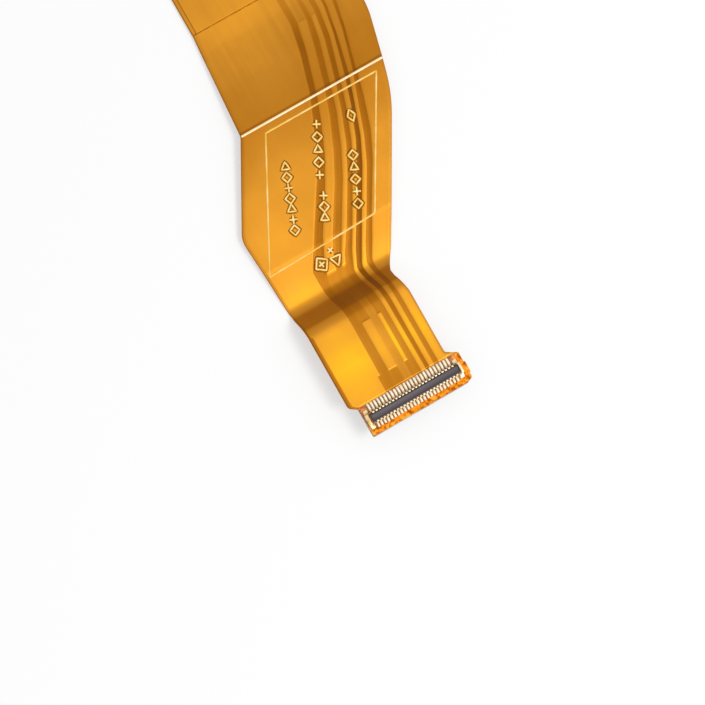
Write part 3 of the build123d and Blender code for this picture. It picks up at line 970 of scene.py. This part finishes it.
# %% Scorched frame of film round each connector
TAB_OUTLINE = [
    (-5.8, 1.38), (-5.8, -1.55), (-5.5, -1.7), (5.58, -1.7), (6.28, -1.38), (6.28, -0.9),
    (6.41, -0.9), (6.41, 0.32), (6.28, 0.32), (6.28, 1.38), (6.13, 1.5),
]
WINDOW = [(5.76, 1.5), (5.76, -1.08), (-5.76, -1.08), (-5.76, 1.38)]
SCORCHED = ("a04606", "ee8a14", "ffb43c")
scorched = satin("scorched_polyimide", SCORCHED, 0.4, 0.1, (0.25, 0.5), 0.015, FILM_INDEX, glint="ff9c3c")
for end, seat in ends.items():
    film_frame = raise_outline(TAB_OUTLINE + WINDOW, FILM_TOP - COPPER_TOP, COVER_TOP - COPPER_TOP)
    ease_edges(film_frame, 0.01, above_angle=50)
    film_frame.transform(seat)
    finish_piece(f"{end}_film_frame", to_mesh(f"{end}_film_frame", film_frame), scorched)

# %% [markdown]
# The contacts are 25 pairs of bent strips at a pitch of 0.4 mm, too many to place by hand. One strip is
# drawn from its side profile, with a rounded shoulder where it folds over the rib and a foot that flares
# onto the solder. A node tree then stands it in two facing rows. The solder on each foot is a small loaf
# that no two joints share exactly, so the tree also takes a seed and how much the size may vary.

# %% A tree that stands one shape in two facing rows
row_tree, row_inputs, given, result = new_tree(
    "two_facing_rows",
    {
        "One": "NodeSocketObject",
        "Count": "NodeSocketInt",
        "Pitch": "NodeSocketFloat",
        "Variation": "NodeSocketFloat",
        "Seed": "NodeSocketInt",
        "Finish": "NodeSocketMaterial",
    },
)
shape = add_node(row_tree, "GeometryNodeObjectInfo", links={"Object": given.outputs["One"]})
gaps = add_node(
    row_tree, "ShaderNodeMath", operation="SUBTRACT", links={0: given.outputs["Count"]}, values={1: 1.0}
)
span = add_node(
    row_tree, "ShaderNodeMath", operation="MULTIPLY", links={0: gaps, 1: given.outputs["Pitch"]}
)
half = add_node(row_tree, "ShaderNodeMath", operation="MULTIPLY", links={0: span}, values={1: -0.5})
start = add_node(row_tree, "ShaderNodeCombineXYZ", links={"X": half})
stride = add_node(row_tree, "ShaderNodeCombineXYZ", links={"X": given.outputs["Pitch"]})
line = add_node(
    row_tree,
    "GeometryNodeMeshLine",
    mode="OFFSET",
    links={
        "Count": given.outputs["Count"],
        "Start Location": start,
        "Offset": stride,
    },
)
smallest, largest = (
    add_node(
        row_tree, "ShaderNodeMath", operation=sign, links={1: given.outputs["Variation"]}, values={0: 1.0}
    )
    for sign in ("SUBTRACT", "ADD")
)
rows_joined = add_node(row_tree, "GeometryNodeJoinGeometry")
for turn, shift in ((0.0, 0), (pi, 100)):
    seed = add_node(
        row_tree, "ShaderNodeMath", operation="ADD", links={0: given.outputs["Seed"]}, values={1: shift}
    )
    size = add_node(
        row_tree,
        "FunctionNodeRandomValue",
        data_type="FLOAT_VECTOR",
        links={"Seed": seed, 0: smallest, 1: largest},
    )
    placed = add_node(
        row_tree,
        "GeometryNodeInstanceOnPoints",
        links={"Points": line, "Instance": shape.outputs["Geometry"], "Scale": size},
    )
    turned = add_node(
        row_tree, "GeometryNodeTransform", links={"Geometry": placed}, values={"Rotation": (0.0, 0.0, turn)}
    )
    row_tree.links.new(turned.outputs[0], rows_joined.inputs[0])
real = add_node(row_tree, "GeometryNodeRealizeInstances", links={0: rows_joined})
coated = add_node(
    row_tree, "GeometryNodeSetMaterial", links={"Geometry": real, "Material": given.outputs["Finish"]}
)
row_tree.links.new(coated.outputs[0], result.inputs["Shape"])


def two_rows(name, shape_mesh, count, pitch, finish, variation=0.0, seed=1):
    """Stands a shape in two facing rows and gives back their mesh."""
    one = bpy.data.objects.new(name + "_one", shape_mesh)
    inputs = {"One": one, "Count": count, "Pitch": pitch * MM, "Finish": finish}
    inputs.update({"Variation": variation, "Seed": seed})
    mesh = grow(name, bpy.data.meshes.new(name), row_tree, row_inputs, inputs)
    bpy.data.objects.remove(one)
    return mesh


print("nodes that stand two rows:", len(row_tree.nodes))

# %% One contact and one solder joint
CONTACTS = 25
PITCH = 0.4
CONTACT_WIDTH = 0.2
RIB_FACE = 0.4
CONTACT_FACE = 0.58
CONTACT_TOP = 0.66
FOLD = 0.07
FOOT_END = 1.12
FOOT_THICK = 0.09
LAND_WIDTH = 0.24

profile_points = [(RIB_FACE, 0.0), (RIB_FACE, CONTACT_TOP - FOLD / 2)]
for i in range(4):
    angle = pi / 2 * (1 - i / 3)
    profile_points.append((CONTACT_FACE - FOLD + FOLD * cos(angle), CONTACT_TOP - FOLD + FOLD * sin(angle)))
profile_points += [
    (CONTACT_FACE, FOOT_THICK + 0.06),
    (CONTACT_FACE + 0.06, FOOT_THICK),
    (FOOT_END - 0.03, FOOT_THICK),
    (FOOT_END, FOOT_THICK - 0.04),
    (FOOT_END, 0.0),
]
contact = bmesh.new()
sides = []
for x in (-CONTACT_WIDTH / 2, CONTACT_WIDTH / 2):
    sides.append([contact.verts.new((x * MM, y * MM, z * MM)) for y, z in profile_points])
contact.faces.new(sides[0])
contact.faces.new(sides[1][::-1])
for i in range(len(profile_points)):
    j = (i + 1) % len(profile_points)
    contact.faces.new((sides[0][i], sides[1][i], sides[1][j], sides[0][j]))
contact_mesh = to_mesh("contact", contact)

solder = bmesh.new()
LOAF_START, LOAF_END = 0.74, 1.47
LOAF_ROWS = (0.0, 0.08, 0.3, 0.7, 0.92, 1.0)
LOAF_SIDES = 9
rings = []
for t in LOAF_ROWS:
    rise = max(0.05, (1 - abs(2 * t - 1) ** 2.5)) ** 0.5
    arc = []
    for k in range(LOAF_SIDES):
        angle = pi * k / (LOAF_SIDES - 1)
        x = LAND_WIDTH / 2 * (0.75 + 0.25 * rise) * copysign(abs(cos(angle)) ** 0.45, cos(angle))
        z = (0.04 + 0.1 * rise) * sin(angle) ** 0.5
        y = LOAF_START + (LOAF_END - LOAF_START) * t - (LOAF_START + LOAF_END) / 2
        arc.append(solder.verts.new((x * MM, y * MM, z * MM)))
    rings.append(arc)
for first, second in zip(rings, rings[1:]):
    for k in range(LOAF_SIDES - 1):
        solder.faces.new((first[k], first[k + 1], second[k + 1], second[k]))
    solder.faces.new((first[-1], first[0], second[0], second[-1]))
solder.faces.new(rings[0])
solder.faces.new(rings[-1])
for face in solder.faces:
    face.smooth = True
bmesh.ops.translate(solder, verts=solder.verts, vec=(0, (LOAF_START + LOAF_END) / 2 * MM, 0))
solder_mesh = to_mesh("solder_joint", solder)
print("faces of a contact and a joint:", len(contact_mesh.polygons), len(solder_mesh.polygons))

# %% [markdown]
# The strips are a copper alloy with a flash of gold, and the solder on their feet is bright tin that has
# taken some of the gold's warmth. Both metals are only a few tenths of a millimetre wide here, so a pale
# base colour does more for them than a sharp reflection.

# %% Rows of contacts and of solder
gold = satin("flash_gold_on_copper_alloy", ("f4d8a0", "fdeac0", "fff8e0"), 0.3, 0.15, (0.2, 0.36), 0.004)
tin = satin("reflowed_tin", ("fff0c8", "fffae0", "fffff0"), 0.25, 0.0, (0.25, 0.45), 0.004, glint="fff2d0")
for end, seat in ends.items():
    mesh = two_rows(f"{end}_contacts", contact_mesh, CONTACTS, PITCH, gold)
    mesh.transform(seat)
    replaced = [f"{end}_front_contacts", f"{end}_back_contacts"]
    finish_piece(f"{end}_contacts", mesh, gold, replaced)

# %% [markdown]
# The front feet have long lands, and the back ones short lands that stop before the tab's edge. Solder is
# laid on both, and four blobs hold the fitting nails.

# %% Solder
BACK_START = 0.7
BACK_SHARE = 0.5
for k, (end, seat) in enumerate(ends.items()):
    mesh = two_rows(f"{end}_solder", solder_mesh, CONTACTS, PITCH, tin, variation=0.05, seed=3 + k)
    for vert in mesh.vertices:
        if vert.co.y < 0:
            vert.co.y = -(BACK_START * MM + (-vert.co.y - LOAF_START * MM) * BACK_SHARE)
    mesh.transform(seat)
    finish_piece(f"{end}_solder", mesh, tin)

# %% [markdown]
# The mouldings, the nails and the stiffeners keep the solid model's shape, but a moulded or punched edge
# is never razor sharp. A copy of each is cleaned of its loose triangles, and its edges are rounded by a
# few hundredths of a millimetre, which is enough for them to catch the light.

# %% Softened copies of moulded and punched pieces
COMB_HALF = 0.62
GROOVE_SHADOW_START = 0.3
GROOVE_SHADOW_END = 0.42
RIB_END = 5.22


def softened(node_name, width, material):
    """A copy of a node with rounded edges, which stands for it."""
    copy = bmesh.new()
    copy.from_mesh(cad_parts[node_name].data)
    bmesh.ops.remove_doubles(copy, verts=copy.verts, dist=0.0001 * MM)
    bmesh.ops.dissolve_limit(
        copy, angle_limit=radians(2), verts=copy.verts, edges=copy.edges, use_dissolve_boundaries=False
    )
    ease_edges(copy, width)
    for face in copy.faces:
        face.smooth = True
    name = node_name.replace("near_", "near_soft_").replace("far_", "far_soft_")
    finish_piece(name, to_mesh(name, copy), material, [node_name])


def from_connector(tree, place, axis, far_middle):
    """How far a point lies from the middle of its own connector along an axis."""
    apart = add_node(tree, "ShaderNodeSeparateXYZ", links={0: place})
    is_far = add_node(
        tree,
        "ShaderNodeMath",
        operation="GREATER_THAN",
        links={0: apart.outputs["Y"]},
        values={1: FAR_Y / 2 * MM},
    )
    middle = add_node(
        tree, "ShaderNodeMath", operation="MULTIPLY", links={0: is_far}, values={1: far_middle * MM}
    )
    offset = add_node(
        tree, "ShaderNodeMath", operation="SUBTRACT", links={0: apart.outputs[axis], 1: middle}
    )
    return add_node(tree, "ShaderNodeMath", operation="ABSOLUTE", links={0: offset})


moulding, tree, output = new_material("glass_filled_lcp_with_painted_shadow")
place = add_node(tree, "ShaderNodeTexCoord").outputs["Object"]
fibres = add_node(
    tree, "ShaderNodeTexNoise", links={"Vector": place}, values={"Scale": 1 / (0.25 * MM), "Detail": 4.0}
)
along = from_connector(tree, place, "X", FAR_X)
across = from_connector(tree, place, "Y", FAR_Y)
past_end = add_node(
    tree, "ShaderNodeMath", operation="SUBTRACT", links={0: along}, values={1: (RIB_END - GROOVE_SHADOW_START) * MM}
)
outwards = add_node(tree, "ShaderNodeMath", operation="MAXIMUM", links={0: across, 1: past_end})
band = add_node(tree, "ShaderNodeMapRange", links={"Value": outwards}, values={"From Max": COMB_HALF * MM})
colour = add_node(tree, "ShaderNodeValToRGB", links={"Fac": band})
# the near-black band is a painted shadow of the contact grooves round the rib
bands = ((0.0, "4e4145"), (GROOVE_SHADOW_START - 0.02, "483b3f"), (GROOVE_SHADOW_START, "120c0a"), (GROOVE_SHADOW_END, "120c0a"))
bands += ((GROOVE_SHADOW_END + 0.03, "8a5a32"), (COMB_HALF, "a8743f"))
set_stops(colour, tuple((out / COMB_HALF, tone) for out, tone in bands))
gloss = add_node(
    tree, "ShaderNodeMapRange", links={"Value": fibres}, values={"To Min": 0.4, "To Max": 0.62}
)
coat(tree, output, colour, gloss, fibres, 0.4, 0.004, {"IOR": FILM_INDEX})
nail_gold = satin("flash_gold_on_nails", ("f0c67a", "fde0a4", "fff6d8"), 0.4, 0.15, (0.2, 0.4), 0.004)
ROLLED = (0.06, 1.0, 1.0)
steel = satin(
    "dull_rolled_steel", ("6f6f66", "83837a", "98988e"), 0.5, 0.75, (0.38, 0.55), 0.004, stretch=ROLLED
)
for end in ends:
    softened(f"{end}_housing", 0.015, moulding)
    softened(f"{end}_left_nail", 0.03, nail_gold)
    softened(f"{end}_right_nail", 0.03, nail_gold)
    softened(f"{end}_stiffener", 0.02, steel)

# %% [markdown]
# What is left keeps the solid model's shape and only gets its finish. In the window the bare base film
# shows. It is dark with flux and painted shade between the contacts and scorched orange at the ends, so
# its material looks at how far a point lies from the middle of its own connector.

# %% Bare film in the windows
DARK_HALF = 5.12

floor_film, tree, output = new_material("fluxed_polyimide_with_painted_shade")
place = add_node(tree, "ShaderNodeTexCoord").outputs["Object"]
mottle = add_node(
    tree, "ShaderNodeTexNoise", links={"Vector": place}, values={"Scale": 1 / (0.4 * MM), "Detail": 4.0}
)
ends_colour = add_node(tree, "ShaderNodeValToRGB", links={"Fac": mottle})
set_stops(ends_colour, ((0.36, "a4480a"), (0.5, "e27f1a"), (0.64, "f79a34")))
# flux, darkened further by painted shade between the contacts
between_colour = add_node(tree, "ShaderNodeValToRGB", links={"Fac": mottle})
set_stops(between_colour, ((0.36, "80461a"), (0.5, "a8651f"), (0.64, "cc8630")))
at_end = add_node(
    tree,
    "ShaderNodeMapRange",
    links={"Value": from_connector(tree, place, "X", FAR_X)},
    values={"From Min": DARK_HALF * MM, "From Max": (DARK_HALF + 0.1) * MM},
)
colour = add_node(
    tree, "ShaderNodeMix", data_type="RGBA", links={0: at_end, 6: between_colour, 7: ends_colour}
)
gloss = add_node(tree, "ShaderNodeMapRange", links={"Value": mottle}, values={"To Min": 0.2, "To Max": 0.5})
surface = add_node(
    tree,
    "ShaderNodeBsdfPrincipled",
    links={"Base Color": colour.outputs[2], "Roughness": gloss},
    values={"IOR": 1.6},
)
tree.links.new(surface.outputs[0], output.inputs["Surface"])

# %% Finishes of the nodes that stay
copper = satin("etched_rolled_copper", ("c4763a", "d98f4f", "e8a868"), 1.2, 0.9, (0.3, 0.45), 0.004)
glue = satin("cured_acrylic_adhesive", ("7d5022", "8f6030", "a3743e"), 0.8, 0.0, (0.45, 0.6), 0.01)
kept = {
    "base_film": floor_film,
    "back_coverlay": film_plain,
    "ground_plane": copper,
    "ground_pour": copper,
    "supply_pour": copper,
    **{f"trace_{k}": copper for k in (1, 2, 3, 4)},
    **{f"bar_{k}": copper for k in (1, 2)},
    **{f"{end}_contact_lands": tin for end in ends},
    **{f"{end}_nail_lands": tin for end in ends},
    **{f"{end}_stiffener_adhesive": glue for end in ends},
}
for name, material in kept.items():
    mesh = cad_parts[name].data
    mesh.materials.clear()
    mesh.materials.append(material)
print("nodes that keep their shape:", len(kept))

# %% [markdown]
# The colours stay as written with the Standard view.

# %% View transform
scene.view_settings.view_transform = "Standard"
